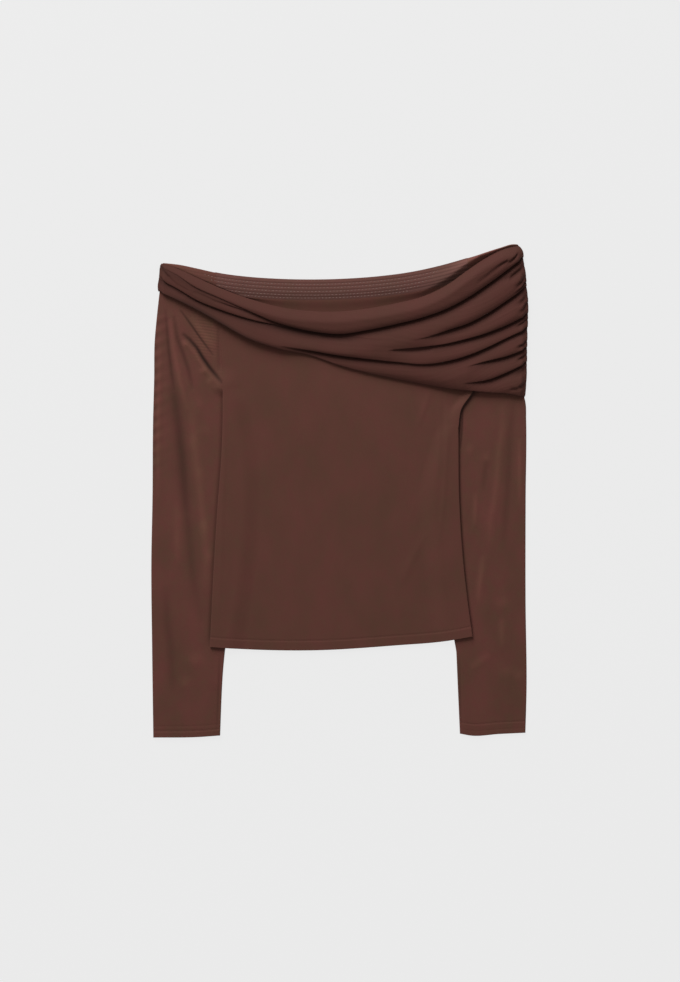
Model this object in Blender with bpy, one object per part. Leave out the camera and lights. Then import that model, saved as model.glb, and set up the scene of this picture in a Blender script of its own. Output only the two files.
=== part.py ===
"""An off-the-shoulder, long-sleeved top of stretch jersey, laid flat with its front up.

Metres, +Z up. +X is the right of the view from above, +Y runs from the hem to the neckline.
The origin lies on the resting surface under the middle of the whole top.
Every piece is a cloth wall. The tables are in millimetres, read off the top as it lies.
"""

import math

import bpy
import bmesh
import numpy as np

for old in list(bpy.data.objects):
    bpy.data.objects.remove(old, do_unlink=True)

MM = 0.001

# The cloth and how its layers lie
WALL = 1.0 * MM
LAYER_GAP = 0.4 * MM
SEAM_GAP = 0.3 * MM
FOLD_OUTER = WALL + LAYER_GAP / 2
FOLD_INNER = LAYER_GAP / 2
TUBE = 2 * FOLD_OUTER
LIFT = TUBE + LAYER_GAP
CURL = math.pi / 2 - SEAM_GAP / 2 / FOLD_OUTER
BAND_WIDTH = 26.0 * MM
NECK_SET_IN = 6.0 * MM
MIDDLE = (0.29 * MM, 0.34 * MM)
SHARP_ANGLE = math.radians(40)

# Edges that run from side to side: (x, y)
BACK_NECK = (
    (-226, 285.5), (-200, 282.9), (-175, 277.9), (-150, 272.4), (-118, 268.2), (-81, 265.6),
    (-37, 264.6), (7, 265.7), (50, 268.9), (88, 273.9), (125, 281.7), (163, 292.2),
    (200, 304.1), (218, 308.6), (228, 308.0),
)
HEM = ((-170, -194.0), (-137, -196.4), (-37, -198.9), (75, -192.3), (125, -188.3), (175, -180.2))
LEFT_CUFF = ((-236, -307.8), (-175, -307.1), (-148, -305.2))
RIGHT_CUFF = ((148, -302.6), (162, -305.2), (200, -303.3), (236, -301.6))

# Edges that run up the garment: (y, x)
BODY_LEFT = (
    (-200, -162.4), (-110, -158.1), (-24, -152.9), (46, -147.7), (116, -146.1), (149, -146.9),
    (208, -150.2), (290, -157.0),
)
BODY_RIGHT = (
    (-200, 168.8), (-142, 160.6), (-86, 154.4), (-7, 149.5), (64, 148.7), (84, 148.6),
    (102, 151.6), (125, 165.9), (145, 169.1), (214, 166.0), (300, 158.5),
)
LEFT_OUTER = (
    (-310, -232.9), (-199, -234.4), (-86, -235.4), (-11, -234.0), (90, -233.2), (139, -231.9),
    (189, -231.1), (214, -228.9), (241, -226.0), (252, -224.8), (265, -224.4), (288, -221.2),
)
# How far each sleeve's underarm fold reaches under the body: (y, reach)
LEFT_TUCK = (
    (-310, 12.8), (-226, 16.6), (-149, 24.3), (-49, 30.0), (1, 27.8), (45, 21.8), (75, 14.5),
    (98, 5.0), (115, 0), (129, 0),
)
RIGHT_OUTER = (
    (-310, 231.8), (-249, 233.5), (-136, 232.3), (-11, 232.4), (89, 233.0), (110, 232.3),
    (120, 230.3), (139, 231.6), (189, 232.8), (241, 233.4), (256, 232.0), (271, 230.7),
    (286, 228.3), (301, 226.0), (309, 222.5),
)
RIGHT_TUCK = (
    (-310, 18.3), (-226, 22.0), (-149, 25.1), (-49, 27.3), (1, 26.3), (28, 20.5), (52, 7.5),
    (69, 0), (84, 0),
)
LEFT_UNDERARM = 129.0 * MM
RIGHT_UNDERARM = 84.0 * MM

# Where a body edge lies on a sleeve it rises over it, and comes down again in these lengths
ARMHOLE_FADE = 20.0 * MM
SLEEVE_FADE = 13.0 * MM
BODY_SLOPE = 24.0 * MM
SLEEVE_SLOPE = 18.0 * MM

# Main creases of the sleeves: start x and y, end x and y, height, half width
CREASES = (
    (-196, 222, -156, 173, 1.6, 6),
    (-194, 193, -148, 138, 1.8, 6),
    (-216, 226, -221, 90, 0.9, 7),
    (-200, 214, -204, 60, 0.8, 7),
    (212, 96, 206, -60, 0.8, 8),
    (182, 92, 186, -90, 0.7, 8),
)
CREASE_CLEAR = 15.0 * MM

# The drape, a row for each section from the left end to the right end: where its upper edge,
# its six valleys and its lower edge cross the section at x
DRAPE_COLUMNS = ("x", "upper", "main", "second", "third", "fourth", "fifth", "sixth", "lower")
DRAPE_SECTIONS = (
    (-227, 285.0, 279.0, 263.0, 258.5, 255.3, 253.7, 252.1, 250.4),
    (-205, 278.0, 270.0, 253.5, 248.0, 245.7, 244.4, 243.0, 241.5),
    (-180, 267.0, 255.5, 239.0, 234.9, 233.4, 232.0, 230.7, 229.3),
    (-150, 254.0, 242.7, 227.0, 221.0, 217.6, 216.3, 215.0, 213.5),
    (-115, 241.0, 227.0, 215.5, 205.2, 198.8, 197.4, 196.0, 194.5),
    (-75, 230.0, 209.3, 204.8, 193.5, 183.4, 181.8, 180.3, 178.8),
    (-35, 224.8, 199.3, 196.5, 185.0, 174.6, 171.7, 169.3, 167.2),
    (0, 224.3, 196.0, 193.3, 181.5, 169.3, 163.3, 159.4, 156.6),
    (35, 228.0, 201.5, 191.5, 180.0, 165.7, 156.7, 151.2, 148.0),
    (70, 234.5, 209.0, 192.0, 179.6, 162.7, 151.1, 143.8, 140.3),
    (105, 243.5, 218.0, 194.5, 181.4, 160.0, 149.8, 138.3, 133.5),
    (135, 258.0, 229.0, 202.0, 185.0, 163.3, 151.8, 135.7, 128.7),
    (160, 275.5, 242.3, 210.0, 190.8, 169.8, 157.6, 137.0, 126.2),
    (185, 291.5, 258.5, 223.0, 198.4, 179.8, 163.0, 139.6, 124.0),
    (208, 302.5, 274.0, 238.0, 207.6, 190.7, 168.5, 147.9, 122.5),
    (234, 306.5, 291.0, 255.0, 221.0, 203.0, 178.3, 160.0, 117.5),
)
# How deep each valley is along the drape: x, then the share of the fold's height
VALLEY_DEPTHS = {
    "main": ((-227, 0.5), (-120, 0.55), (-62, 1.0), (234, 1.0)),
    "second": (
        (-227, 0.7), (-180, 0.95), (-67, 0.8), (0, 0.4), (60, 0.0), (105, 0.15), (140, 0.9), (234, 0.9),
    ),
    "third": ((-227, 0.0), (60, 0.0), (85, 0.35), (125, 0.45), (150, 0.9), (234, 0.9)),
    "fourth": (
        (-227, 0.0), (-80, 0.0), (-60, 0.7), (22, 0.75), (50, 0.5), (113, 0.5), (140, 0.9), (234, 0.9),
    ),
    "fifth": ((-227, 0.0), (150, 0.0), (180, 0.85), (234, 0.85)),
    "sixth": ((-227, 0.0), (148, 0.0), (176, 0.8), (234, 0.85)),
}
# Height of the folds above the flat cloth: x, height
FOLD_HEIGHT = ((-227, 3.0), (-180, 4.2), (-100, 5.5), (0, 6.5), (100, 7.0), (180, 6.5), (234, 5.5))
DRAPE_LEFT = ((248, -226.8), (256, -227.6), (264, -226.6), (272, -225.4), (280, -225.0), (287, -222.8))
DRAPE_RIGHT = (
    (117, 232.0), (139, 233.5), (189, 234.7), (241, 235.5), (256, 234.0), (271, 232.7),
    (286, 230.3), (301, 228.2), (309, 223.0),
)
# A valley's steep upper side and long lower side, the rounding at its bottom, and how far a
# roll leans over it for each unit of height
VALLEY_UPPER = 4.5 * MM
VALLEY_LOWER = 14.0 * MM
VALLEY_ROUND = 0.9 * MM
UPPER_EDGE_ROUNDING = 7.0 * MM
FOLD_LEAN = 0.25
# The drape lies on the front, and its ends turn down over the sleeves' outer folds
DRAPE_FLOOR = TUBE + SEAM_GAP
END_RADIUS = 2.0 * MM
END_ROUNDING = 9.0 * MM
END_TURNS = (90, 60, 30)
END_WARP_POWER = 8
# Stretches of the drape along x with their own spacing of columns: end of stretch, columns
LEFT_STRETCH = (-187 * MM, 6)
MIDDLE_STRETCH = (144 * MM, 26)
RIGHT_COLUMNS = 13
ROLL_ROWS = (0, 0.1, 0.4, 0.72, 0.9)

BODY_BROWN = (0.080, 0.037, 0.028)
SLEEVE_BROWN = (0.100, 0.050, 0.038)
DRAPE_BROWN = (0.085, 0.039, 0.030)
BAND_BROWN = (0.092, 0.045, 0.036)


def through(points, scale=MM):
    """Returns the smooth curve through a table of (place, value) rows as a function."""
    place = np.array([row[0] for row in points]) * MM
    value = np.array([row[1] for row in points]) * scale
    tangent = np.gradient(value, place)

    def curve(at):
        at = np.clip(at, place[0], place[-1])
        left = np.clip(np.searchsorted(place, at, side="right") - 1, 0, len(place) - 2)
        step = place[left + 1] - place[left]
        t = (at - place[left]) / step
        rise = value[left] * (1 + 2 * t) + tangent[left] * step * t
        fall = value[left + 1] * (3 - 2 * t) - tangent[left + 1] * step * (1 - t)
        return rise * (1 - t) ** 2 + fall * t ** 2

    return curve


def ease(t):
    """Rises smoothly from 0 at t = 0 to 1 at t = 1."""
    t = np.clip(t, 0, 1)
    return t * t * (3 - 2 * t)


body_left = through(BODY_LEFT)
body_right = through(BODY_RIGHT)
left_outer = through(LEFT_OUTER)
right_outer = through(RIGHT_OUTER)
hem = through(HEM)
back_neck = through(BACK_NECK)
drape_lines = {
    name: through([(row[0], row[column]) for row in DRAPE_SECTIONS])
    for column, name in enumerate(DRAPE_COLUMNS) if name != "x"
}


def left_inner(y):
    """The left sleeve's inner edge: at the armhole seam, and below it tucked under the body."""
    return body_left(y) - SEAM_GAP + through(LEFT_TUCK)(y)


def right_inner(y):
    """The right sleeve's inner edge, in the same way."""
    return body_right(y) + SEAM_GAP - through(RIGHT_TUCK)(y)


def front_neck(x):
    """The front's neckline lies just inside the upper edge of the drape that covers it."""
    return drape_lines["upper"](x) - NECK_SET_IN


def band_seam(x):
    """The seam between the neck band and the back."""
    return back_neck(x) - BAND_WIDTH


def add_solid(name, outer, inner, colour, roughness):
    """Closes the outer and the inner face of a cloth wall, two grids of points, into one solid."""
    rows, columns = outer.shape[:2]
    points = np.concatenate([outer.reshape(-1, 3), inner.reshape(-1, 3)])
    points = points - np.array([MIDDLE[0], MIDDLE[1], 0])
    index = np.arange(2 * rows * columns).reshape(2, rows, columns)
    faces = []
    for row in range(rows - 1):
        for column in range(columns - 1):
            for side in index:
                faces.append((
                    side[row, column], side[row, column + 1],
                    side[row + 1, column + 1], side[row + 1, column],
                ))
    rim = [(0, c) for c in range(columns)] + [(r, columns - 1) for r in range(1, rows)]
    rim += [(rows - 1, c) for c in range(columns - 2, -1, -1)] + [(r, 0) for r in range(rows - 2, 0, -1)]
    for (r0, c0), (r1, c1) in zip(rim, rim[1:] + rim[:1]):
        faces.append((index[0, r0, c0], index[1, r0, c0], index[1, r1, c1], index[0, r1, c1]))
    mesh = bpy.data.meshes.new(name)
    mesh.from_pydata(points.tolist(), [], [tuple(int(i) for i in face) for face in faces])
    work = bmesh.new()
    work.from_mesh(mesh)
    bmesh.ops.recalc_face_normals(work, faces=work.faces)
    if work.calc_volume(signed=True) < 0:
        bmesh.ops.reverse_faces(work, faces=work.faces)
    work.to_mesh(mesh)
    work.free()
    mesh.shade_smooth()
    mesh.set_sharp_from_angle(angle=SHARP_ANGLE)
    piece = bpy.data.objects.new(name, mesh)
    bpy.context.scene.collection.objects.link(piece)
    cloth = bpy.data.materials.new(name + "_cloth")
    cloth.use_nodes = True
    shader = cloth.node_tree.nodes["Principled BSDF"]
    shader.inputs["Base Color"].default_value = (*colour, 1)
    shader.inputs["Roughness"].default_value = roughness
    shader.inputs["Metallic"].default_value = 0
    mesh.materials.append(cloth)
    return piece


def body_lift(x, y):
    """How far the body's edges are raised by the sleeves folded under them."""
    left = ease((left_inner(y) + 1.5 * MM + BODY_SLOPE - x) / BODY_SLOPE)
    left = left * ease((LEFT_UNDERARM + ARMHOLE_FADE - y) / ARMHOLE_FADE)
    right = ease((x - right_inner(y) + 1.5 * MM + BODY_SLOPE) / BODY_SLOPE)
    right = right * ease((RIGHT_UNDERARM + ARMHOLE_FADE - y) / ARMHOLE_FADE)
    return LIFT * (left + right)


def sleeve_lift(x, y, inner, underarm, side):
    """The sleeve follows the raised body edge at the armhole, and is flat again under the body."""
    beside = ease(1 - (x - inner(y)) * side / SLEEVE_SLOPE)
    above = ease((underarm + ARMHOLE_FADE - y) / ARMHOLE_FADE)
    below = ease((y - underarm + SLEEVE_FADE) / SLEEVE_FADE)
    return LIFT * beside * above * below


def creases(x, y):
    """Soft ridges along the main creases of the sleeves, flat again before the drape."""
    height = np.zeros_like(x)
    for x0, y0, x1, y1, rise, half_width in np.array(CREASES) * MM:
        length = math.hypot(x1 - x0, y1 - y0)
        along = ((x - x0) * (x1 - x0) + (y - y0) * (y1 - y0)) / length ** 2
        across = ((x - x0) * (y1 - y0) - (y - y0) * (x1 - x0)) / length
        ends = np.sin(math.pi * np.clip(along, 0, 1)) ** 0.8
        height += rise * ends * np.exp(-(across / half_width) ** 2)
    return height * ease((drape_lines["lower"](x) - y) / CREASE_CLEAR)


def long_rows(below, above):
    """Rows from the hem or cuff to the neckline, at shared levels between, so layers stay parallel."""
    below = np.array(below)[:, None]
    above = np.array(above)[:, None]
    levels = np.array(LEVELS)[:, None] * MM

    def rows(low, high):
        return np.concatenate([
            low + below * (levels[0] - low),
            levels + 0 * low,
            levels[-1] + above * (high - levels[-1]),
        ])

    return rows


def short_rows(parts):
    """Rows spaced evenly between two cross edges."""
    return lambda low, high: low + np.linspace(0, 1, parts + 1)[:, None] * (high - low)


def laid_wall(columns, rows, low, high, sides, closed, lift, ridge=None):
    """Lays a cloth wall between two side edges and two cross edges.

    columns has a row for each column of points: share of the way from the near to the far edge,
    turn of the cloth (0 faces up, pi faces down), and how far it is into the curl at each edge.
    """
    near, far = sides
    near_closed, far_closed = closed
    share, turn, near_curl, far_curl = np.array(columns).T
    side = 1 if far(0.0) > near(0.0) else -1
    facing_down = (1 - np.cos(turn)) / 2

    def edge(cross):
        level_near = cross(near(0.0), facing_down)
        level_far = cross(far(0.0), facing_down)
        return cross(near(level_near) * (1 - share) + far(level_far) * share, facing_down)

    y = rows(edge(low), edge(high))
    start = near(y)
    span = np.abs(far(y) - start) - 2 * FOLD_OUTER

    def curl(weight, closed):
        angle = CURL * closed * weight
        reach = ((1 - closed) * weight + np.sin(angle)) / (1 - closed + np.sin(CURL * closed))
        return angle, FOLD_OUTER * (reach - np.sin(angle))

    near_angle, near_shift = curl(near_curl, near_closed(y))
    far_angle, far_shift = curl(far_curl, far_closed(y))
    faces = []
    for radius in (FOLD_OUTER, FOLD_INNER):
        swing = np.sin(turn) + np.sin(far_angle) - np.sin(near_angle)
        x = start + side * (FOLD_OUTER + share * span + far_shift - near_shift + radius * swing)
        z = FOLD_OUTER + radius * np.cos(turn) * np.cos(near_angle) * np.cos(far_angle)
        z = z + lift(x, y)
        if ridge is not None:
            z = z + ridge(x, y) * (1 - facing_down)
        faces.append(np.stack([x, y, z], axis=-1))
    return faces


def neckline(x, facing_down):
    """The whole neckline: the front's on the upper layer, the back's on the lower one."""
    return front_neck(x) * (1 - facing_down) + back_neck(x) * facing_down


def level_edge(line):
    """A cross edge that runs the same on both layers."""
    return lambda x, facing_down: line(x) + 0 * facing_down


def open_above(underarm):
    """A side edge is closed to its seam up to the underarm, and lies open at the armhole."""
    return lambda y: ease((underarm - y) / (8.0 * MM))


def closed_everywhere(y):
    return np.ones_like(y)


CURL_STEPS = (1.0, 0.5)
PANEL_SHARES = (
    0, 0.035, 0.07, 0.11, 0.16, 0.24, 0.33, 0.42, 0.5, 0.58, 0.67, 0.76, 0.84, 0.89, 0.93, 0.965, 1,
)
SLEEVE_FRONT_SHARES = (0, 0.06, 0.13, 0.22, 0.33, 0.45, 0.58, 0.72, 0.86, 1)
SLEEVE_BACK_SHARES = (1, 0.66, 0.33, 0.2, 0.1, 0)
FOLD_TURNS = (0.25, 0.5, 0.75)
LEVELS = (-150, -75, 0, 40, 60, 71, 77.5, 84, 90, 97, 104, 116, 122.5, 129, 135, 142, 150)
PANEL_ROWS = long_rows((0, 0.5), (0.35, 0.7, 1))
SLEEVE_ROWS = long_rows((0, 0.3, 0.65), (0.15, 0.3, 0.45, 0.6, 0.8, 1))
BAND_ROWS = short_rows(2)


def panel_columns(turn):
    """Columns of a body panel: a curl at each side seam and the flat cloth between."""
    return (
        [(0, turn, w, 0) for w in CURL_STEPS]
        + [(share, turn, 0, 0) for share in PANEL_SHARES]
        + [(1, turn, 0, w) for w in reversed(CURL_STEPS)]
    )


def sleeve_columns():
    """Columns of a sleeve, from the underarm over the front, the outer fold and the back."""
    return (
        [(0, 0, w, 0) for w in CURL_STEPS]
        + [(share, 0, 0, 0) for share in SLEEVE_FRONT_SHARES]
        + [(1, math.pi * t, 0, 0) for t in FOLD_TURNS]
        + [(share, math.pi, 0, 0) for share in SLEEVE_BACK_SHARES]
        + [(0, math.pi, w, 0) for w in reversed(CURL_STEPS)]
    )


def build_body():
    sides = (body_left, body_right)
    closed = (open_above(LEFT_UNDERARM), open_above(RIGHT_UNDERARM))
    back_top = level_edge(lambda x: band_seam(x) - SEAM_GAP)
    front = laid_wall(panel_columns(0), PANEL_ROWS, level_edge(hem), neckline, sides, closed, body_lift)
    add_solid("front_panel", *front, BODY_BROWN, 0.75)
    back = laid_wall(
        panel_columns(math.pi), PANEL_ROWS, level_edge(hem), back_top, sides, closed, body_lift)
    add_solid("back_panel", *back, BODY_BROWN, 0.75)
    band = laid_wall(
        panel_columns(math.pi), BAND_ROWS, level_edge(band_seam), neckline, sides, closed, body_lift)
    add_solid("neck_band", *band, BAND_BROWN, 0.7)


def build_sleeves():
    sleeves = (
        ("sleeve_left", LEFT_CUFF, left_inner, left_outer, LEFT_UNDERARM, -1),
        ("sleeve_right", RIGHT_CUFF, right_inner, right_outer, RIGHT_UNDERARM, 1),
    )
    for name, cuff, inner, outer, underarm, side in sleeves:
        walls = laid_wall(
            sleeve_columns(), SLEEVE_ROWS, level_edge(through(cuff)), neckline, (inner, outer),
            (open_above(underarm), closed_everywhere),
            lambda x, y: sleeve_lift(x, y, inner, underarm, side), creases)
        add_solid(name, *walls, SLEEVE_BROWN, 0.6)


def valley(x, y, name, depth, lower_reach):
    """What one valley leaves of a fold's height: steep above its line, long below it."""
    above = y - drape_lines[name](x)
    reach = np.where(above > 0, min(VALLEY_UPPER, lower_reach), lower_reach)
    near = (np.sqrt(above ** 2 + VALLEY_ROUND ** 2) - VALLEY_ROUND) / reach
    return 1 - np.clip(depth, 0, 1) * np.clip(1 - near, 0, 1) ** 2


def fold_height(x, y):
    """Height of the drape's folds over the flat cloth, from the valleys and edges that cut it."""
    height = through(FOLD_HEIGHT)(x)
    height = height * valley(x, y, "upper", 1.0, UPPER_EDGE_ROUNDING)
    height = height * valley(x, y, "lower", 1.0, VALLEY_LOWER)
    for name, depths in VALLEY_DEPTHS.items():
        height = height * valley(x, y, name, through(depths, 1.0)(x), VALLEY_LOWER)
    return height


def drape_columns(first, last):
    """Where the drape's columns stand along x, and how far each is turned down at the ends."""
    flat = np.concatenate([
        np.linspace(first, LEFT_STRETCH[0], LEFT_STRETCH[1])[:-1],
        np.linspace(LEFT_STRETCH[0], MIDDLE_STRETCH[0], MIDDLE_STRETCH[1])[:-1],
        np.linspace(MIDDLE_STRETCH[0], last, RIGHT_COLUMNS),
    ])
    turns = np.radians(END_TURNS)
    centre = np.concatenate([np.full(len(turns), first), flat, np.full(len(turns), last)])
    return centre, np.concatenate([-turns, np.zeros(len(flat)), turns[::-1]])


def build_drape():
    """The drape: its rows follow the valleys, and each roll leans over the valley below it."""
    end_outer = END_RADIUS + WALL
    left_end = DRAPE_SECTIONS[0][0] * MM
    right_end = DRAPE_SECTIONS[-1][0] * MM
    first = left_end + end_outer
    last = right_end - end_outer
    x, tilt = drape_columns(first, last)
    lines = [drape_lines[name](x) for name in DRAPE_COLUMNS[1:]]
    rolls = zip(lines, lines[1:])
    y = np.array([high + part * (low - high) for high, low in rolls for part in ROLL_ROWS] + [lines[-1]])
    x = np.broadcast_to(x, y.shape)
    ends = ease((x - first) / END_ROUNDING) * ease((last - x) / END_ROUNDING)
    rise = fold_height(x, y) * np.sqrt(ends)
    slope = np.gradient(rise, axis=0) / np.gradient(y, axis=0)
    upper_z = DRAPE_FLOOR + WALL + rise
    lower_z = np.maximum(DRAPE_FLOOR, upper_z - WALL * np.sqrt(1 + slope ** 2))
    along = (x - left_end) / (right_end - left_end)
    warp = (through(DRAPE_RIGHT)(y) - right_end) * along ** END_WARP_POWER
    warp = warp + (through(DRAPE_LEFT)(y) - left_end) * (1 - along) ** END_WARP_POWER
    walls = []
    for radius, level in ((end_outer, upper_z), (END_RADIUS, lower_z)):
        z = level - radius * (1 - np.cos(tilt))
        lean = FOLD_LEAN * np.maximum(z - DRAPE_FLOOR - WALL, 0)
        walls.append(np.stack([x + warp + radius * np.sin(tilt), y - lean, z], axis=-1))
    add_solid("drape", *walls, DRAPE_BROWN, 0.7)


build_body()
build_sleeves()
build_drape()
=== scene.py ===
"""The look of an off-the-shoulder, long-sleeved top of stretch jersey, laid flat."""

import math

import bpy
import numpy as np
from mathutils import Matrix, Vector


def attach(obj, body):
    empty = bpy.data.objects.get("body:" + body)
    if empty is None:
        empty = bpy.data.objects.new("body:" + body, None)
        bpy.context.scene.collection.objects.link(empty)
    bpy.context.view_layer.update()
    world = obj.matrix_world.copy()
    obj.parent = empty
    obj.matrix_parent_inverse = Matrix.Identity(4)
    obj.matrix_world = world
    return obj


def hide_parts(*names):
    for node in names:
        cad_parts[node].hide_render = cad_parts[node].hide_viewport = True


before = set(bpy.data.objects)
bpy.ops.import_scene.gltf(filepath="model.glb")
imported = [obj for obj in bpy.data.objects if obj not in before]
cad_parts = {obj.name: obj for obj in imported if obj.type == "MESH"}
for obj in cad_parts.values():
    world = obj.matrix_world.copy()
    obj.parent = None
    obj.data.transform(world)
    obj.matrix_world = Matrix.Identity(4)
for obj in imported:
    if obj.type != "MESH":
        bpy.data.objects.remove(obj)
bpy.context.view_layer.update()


# Camera, light and floor
# The top lies on a pale surface that glows evenly, as in the photograph, which shows no shadow on it,
# and is seen straight from above. Two fifths of the light are even; the rest comes low from a wide
# lamp beyond the left shoulder, so folds are dark on their lower side and the hem is a little darker.
VIEW_HEIGHT = 1.2275
CAMERA_HEIGHT = 3.0
CAMERA_SIDE = (0.000085, -0.00015)
SENSOR = 24.0
FLOOR_SIZE = 12.0
FLOOR_DROP = 0.0004
FLOOR_GREY = 0.04
FLOOR_GLOW = 0.790
SKY_STRENGTH = 0.42
LAMP_POWER = 247.0
LAMP_DISTANCE = 4.2
LAMP_WIDTH = 2.4
LAMP_ELEVATION = math.radians(28)
LAMP_TURN = math.radians(22)

scene = bpy.context.scene
scene.view_settings.view_transform = "Standard"

camera_data = bpy.data.cameras.new("camera")
camera_data.sensor_fit = "VERTICAL"
camera_data.sensor_height = SENSOR
camera_data.lens = SENSOR * CAMERA_HEIGHT / VIEW_HEIGHT
camera = bpy.data.objects.new("camera", camera_data)
camera.location = (*CAMERA_SIDE, CAMERA_HEIGHT)
scene.collection.objects.link(camera)
scene.camera = camera

sky = bpy.data.worlds.new("sky")
sky.use_nodes = True
sky.node_tree.nodes["Background"].inputs["Color"].default_value = (1.0, 1.0, 1.0, 1)
sky.node_tree.nodes["Background"].inputs["Strength"].default_value = SKY_STRENGTH
scene.world = sky

lamp_data = bpy.data.lights.new("lamp", "AREA")
lamp_data.energy = LAMP_POWER
lamp_data.size = LAMP_WIDTH
lamp = bpy.data.objects.new("lamp", lamp_data)
lamp.rotation_euler = (LAMP_ELEVATION - math.pi / 2, 0, LAMP_TURN)
lamp.location = lamp.rotation_euler.to_matrix() @ Vector((0, 0, LAMP_DISTANCE))
scene.collection.objects.link(lamp)

floor_mesh = bpy.data.meshes.new("floor")
half = FLOOR_SIZE / 2
floor_mesh.from_pydata(
    [(-half, -half, -FLOOR_DROP), (half, -half, -FLOOR_DROP), (half, half, -FLOOR_DROP),
     (-half, half, -FLOOR_DROP)], [], [(0, 1, 2, 3)])
floor = bpy.data.objects.new("floor", floor_mesh)
scene.collection.objects.link(floor)
floor_paint = bpy.data.materials.new("pale_floor")
floor_paint.use_nodes = True
shader = floor_paint.node_tree.nodes["Principled BSDF"]
shader.inputs["Base Color"].default_value = (FLOOR_GREY, FLOOR_GREY, FLOOR_GREY, 1)
shader.inputs["Roughness"].default_value = 1.0
shader.inputs["Specular IOR Level"].default_value = 0.0
shader.inputs["Emission Color"].default_value = (1.0, 1.0, 1.0, 1)
shader.inputs["Emission Strength"].default_value = FLOOR_GLOW
floor_mesh.materials.append(floor_paint)


# Back panel
# One piece of smooth brown stretch jersey under the whole body, sewn to the front at the sides and
# to the neck band above. Its lower edge is turned up and stitched. Tables are in millimetres.
MM = 0.001
CLOTH = 0.6 * MM
FOLD_OUTER = 1.2 * MM
FOLD_INNER = FOLD_OUTER - CLOTH
LIFT = 2.8 * MM
CURL = math.pi / 2
BAND_WIDTH = 26.0 * MM
MIDDLE = (0.29 * MM, 0.34 * MM)
BACK_NECK = (
    (-226, 285.5), (-200, 282.9), (-175, 277.9), (-150, 272.4), (-118, 268.2), (-81, 265.6),
    (-37, 264.6), (7, 265.7), (50, 268.9), (88, 273.9), (125, 281.7), (163, 292.2),
    (200, 304.1), (218, 308.6), (228, 308.0),
)
HEM = ((-170, -194.0), (-137, -196.4), (-37, -198.9), (75, -192.3), (125, -188.3), (175, -180.2))
BODY_LEFT = (
    (-200, -162.4), (-110, -158.1), (-24, -152.9), (46, -147.7), (116, -146.1), (149, -146.9),
    (208, -150.2), (290, -157.0),
)
BODY_RIGHT = (
    (-200, 168.8), (-142, 160.6), (-86, 154.4), (-7, 149.5), (64, 148.7), (84, 148.6),
    (102, 151.6), (125, 165.9), (145, 169.1), (214, 166.0), (300, 158.5),
)
LEFT_TUCK = (
    (-310, 12.8), (-226, 16.6), (-149, 24.3), (-49, 30.0), (1, 27.8), (45, 21.8), (75, 14.5),
    (98, 10.5), (116, 6.5), (124, 2.2), (129, 0), (140, 0),
)
RIGHT_TUCK = (
    (-310, 18.3), (-226, 22.0), (-149, 25.1), (-49, 27.3), (1, 26.3), (28, 20.5), (52, 13.0),
    (70, 7.5), (78, 3.0), (84, 0), (95, 0),
)
LEFT_UNDERARM = 129.0 * MM
RIGHT_UNDERARM = 84.0 * MM
# The upper edge of the drape, and the height of the crest that the back makes above it: x, value
DRAPE_UPPER = (
    (-227, 285.0), (-205, 278.0), (-180, 267.0), (-150, 254.0), (-115, 241.0), (-75, 230.0),
    (-35, 224.8), (0, 224.3), (35, 228.0), (70, 234.5), (105, 243.5), (135, 258.0), (160, 275.5),
    (185, 291.5), (208, 302.5), (234, 306.5),
)
NECK_CREST = (
    (-227, 0.4), (-180, 1.0), (-100, 1.8), (0, 2.3), (90, 3.0), (140, 4.6), (180, 5.2), (214, 4.0),
    (234, 2.0),
)
# How far above the drape the crest stays
CREST_CLEAR = ((-227, 1.5), (60, 3.0), (110, 8.0), (180, 9.0), (208, 6.0), (222, 2.5), (234, 1.5))
ARMHOLE_FADE = 28.0 * MM
BODY_SLOPE = 24.0 * MM
EDGE_OVERLAP = 1.5 * MM
# Over which length a side seam closes below its underarm
SEAM_CLOSING = 8.0 * MM
# The turned-up hem: its width, how much thicker it is, and the groove that its stitches pull
HEM_WIDTH = 12.0 * MM
HEM_RISE = 0.25 * MM
HEM_GROOVE = 0.30 * MM
GROOVE_HALF = 1.1 * MM
EDGE_STEPS = (0, 0.3, *np.arange(0.8, 20, 0.6), 21)
CURL_STEPS = (1.0, 0.86, 0.72, 0.58, 0.44, 0.3, 0.15)
JERSEY_BROWN = (0.0860, 0.0324, 0.0237)
SHEEN_TINT = (0.95, 0.78, 0.72)
CLOTH_SHINE = 0.10
WALE = 0.8 * MM
COURSE = 0.7 * MM
# Noise scales of a cloth's patches, small patches and flecks, and how clearly the patches show
PATCHES = 26.0
SMALL_PATCHES = 130.0
FLECKS = 900.0
SMALL_SHARE = 0.4
PATCH_CONTRAST = 3.6


def through(points, scale=MM):
    """Returns the smooth curve through a table of (place, value) rows as a function."""
    place = np.array([row[0] for row in points]) * MM
    value = np.array([row[1] for row in points]) * scale
    tangent = np.gradient(value, place)

    def curve(at):
        at = np.clip(at, place[0], place[-1])
        left = np.clip(np.searchsorted(place, at, side="right") - 1, 0, len(place) - 2)
        step = place[left + 1] - place[left]
        t = (at - place[left]) / step
        rise = value[left] * (1 + 2 * t) + tangent[left] * step * t
        fall = value[left + 1] * (3 - 2 * t) - tangent[left + 1] * step * (1 - t)
        return rise * (1 - t) ** 2 + fall * t ** 2

    return curve


def ease(t):
    """Rises smoothly from 0 at t = 0 to 1 at t = 1."""
    t = np.clip(t, 0, 1)
    return t * t * (3 - 2 * t)


body_left = through(BODY_LEFT)
body_right = through(BODY_RIGHT)
hem = through(HEM)
back_neck = through(BACK_NECK)
left_tuck = through(LEFT_TUCK)
right_tuck = through(RIGHT_TUCK)


def left_inner(y):
    """The left sleeve's inner edge: at the armhole seam, and below it tucked under the body."""
    return body_left(y) + np.maximum(left_tuck(y), 0)


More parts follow.
